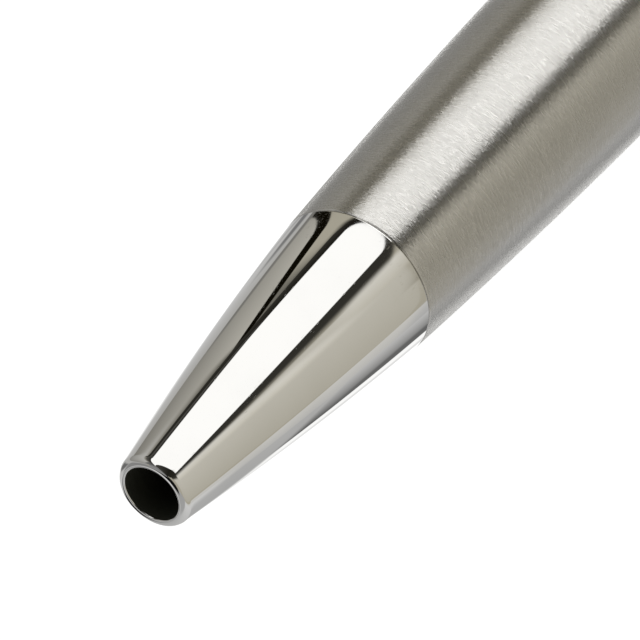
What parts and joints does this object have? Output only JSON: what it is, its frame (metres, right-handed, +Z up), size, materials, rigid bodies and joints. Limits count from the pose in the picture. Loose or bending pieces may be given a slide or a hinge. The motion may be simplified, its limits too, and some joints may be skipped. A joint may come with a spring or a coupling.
{
  "type": "twist ballpoint pen",
  "caption": "Metal twist-action ballpoint pen with a polished nose cone, brushed barrel and cap, sprung clip and a refill that comes out when the cap turns.",
  "frame": {"origin": "on the table, under the middle of the pen's box as it lies at rest on its body and its clip", "axes": "X along the pen from the point (-X) to the finial (+X), +Z up from the table, +Y away from the clip"},
  "size_m": [0.1376, 0.0122, 0.01],
  "materials": {
    "polished_steel": "mirror polished",
    "brushed_steel": "brushed round the pen's axis",
    "brass": "turned",
    "plain_steel": "plain drawn",
    "rubber": "matt",
    "moulded_plastic": "moulded, satin",
    "tip_metal": "turned, bright",
    "ball_metal": "polished",
    "refill_metal": "drawn tube",
    "ink": "wet"
  },
  "bodies": {
    "barrel": {"lower_barrel": "brushed_steel", "rear_bush": "brass", "centre_ring": "polished_steel", "guide_tube": "plain_steel", "friction_ring": "rubber", "retaining_ring": "plain_steel", "return_spring": "plain_steel"},
    "nose": {"nose_cone": "polished_steel"},
    "refill": {"refill_tip": "tip_metal", "refill_adapter": "brass", "refill_tube": "refill_metal", "refill_ink": "ink", "refill_end_plug": "moulded_plastic", "pusher": "moulded_plastic"},
    "ball": {"writing_ball": "ball_metal"},
    "cap": {"cap_tube": "brushed_steel", "cap_liner": "brass", "cam_sleeve": "moulded_plastic", "cap_plug": "brass", "clip_ring": "polished_steel", "finial_screw": "plain_steel", "finial": "polished_steel"},
    "clip": {"clip_arm": "polished_steel"}
  },
  "joints": [
    {"name": "cap_twist", "type": "hinge", "parent": "barrel", "child": "cap", "pos_m": [0, 0.00107, 0.005], "axis": [-1, 0, 0], "range_deg": [0, 150]},
    {"name": "refill_slide", "type": "slide", "parent": "barrel", "child": "refill", "axis": [-1, 0, 0], "range_m": [0, 0.0042], "deforming": ["return_spring"]},
    {"name": "ball_roll", "type": "hinge", "parent": "refill", "child": "ball", "pos_m": [-0.0671, 0.00107, 0.005], "axis": [0, 1, 0], "continuous": true},
    {"name": "nose_off", "type": "slide", "parent": "barrel", "child": "nose", "axis": [-1, 0, 0], "range_m": [0, 0.03]},
    {"name": "clip_flex", "type": "hinge", "parent": "cap", "child": "clip", "pos_m": [0.0629, -0.00385, 0.00223], "axis": [0, -0.491, 0.8712], "range_deg": [0, 4], "stiffness_Nm_per_rad": 2}
  ],
  "couplings": [
    {"joint": "refill_slide", "follows": "cap_twist", "m_per_rad": 0.0016043}
  ]
}
